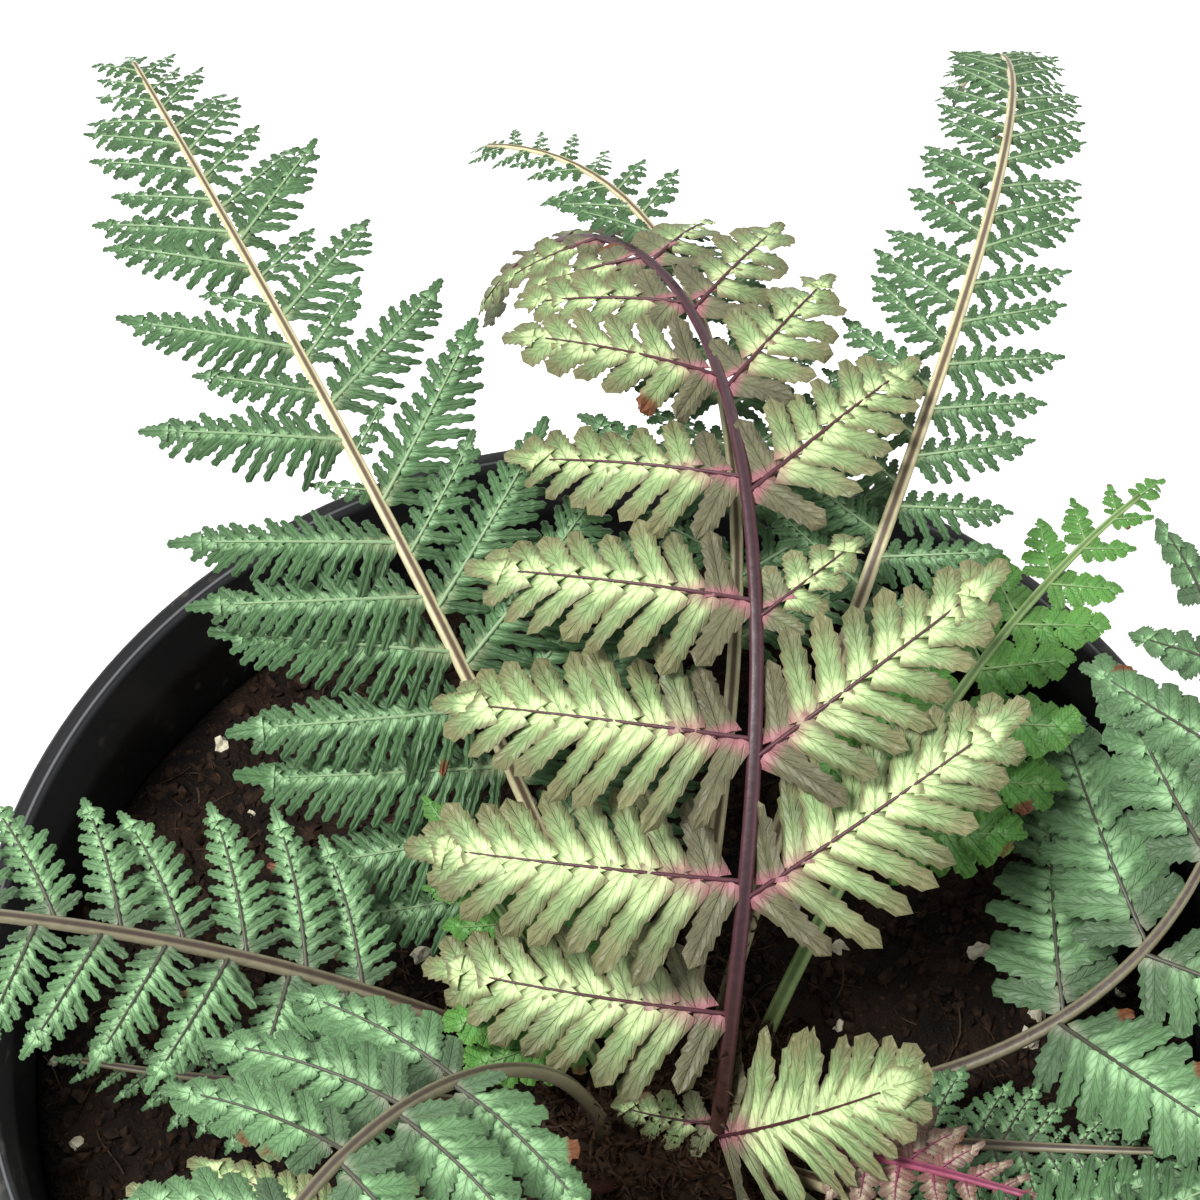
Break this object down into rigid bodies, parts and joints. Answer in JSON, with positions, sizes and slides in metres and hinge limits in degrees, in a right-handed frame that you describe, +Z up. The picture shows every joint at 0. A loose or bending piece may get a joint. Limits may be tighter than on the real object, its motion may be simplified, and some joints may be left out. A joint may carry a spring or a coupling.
{
  "type": "potted japanese painted fern",
  "caption": "Painted fern growing in a round black nursery pot, with arching silver-green and burgundy fronds of lobed leaflets.",
  "frame": {"origin": "centre of the pot's flat base, on the surface that it stands on", "axes": "+Z up along the pot's axis; +Y towards the two tall back fronds; +X to the right of someone who looks along +Y"},
  "size_m": [0.3088, 0.3723, 0.2286],
  "materials": {
    "pot_plastic": "moulded black plastic, satin",
    "soil_mix": "dark damp potting mix",
    "rhizome_scales": "brown papery scales",
    "mature_leaf": "silver and olive leaf with burgundy ribs",
    "silver_leaf": "silver-green leaf",
    "green_leaf": "mid green leaf with silver ribs",
    "bright_leaf": "fresh bright green leaf",
    "pink_leaf": "new pinkish leaf"
  },
  "bodies": {
    "root": {"pot": "pot_plastic", "soil": "soil_mix", "rhizome": "rhizome_scales", "frond_arching": "mature_leaf", "frond_back_left": "green_leaf", "frond_back_right": "green_leaf", "frond_bright": "bright_leaf", "frond_left_low": "silver_leaf", "frond_small_right": "bright_leaf", "frond_right_edge": "silver_leaf", "frond_right_front": "silver_leaf", "frond_young": "bright_leaf", "frond_front_left": "silver_leaf", "frond_lower_left": "silver_leaf", "frond_new_leaf": "pink_leaf", "frond_front_middle": "silver_leaf", "frond_front_right": "green_leaf", "frond_front_far_left": "mature_leaf"}
  },
  "joints": []
}
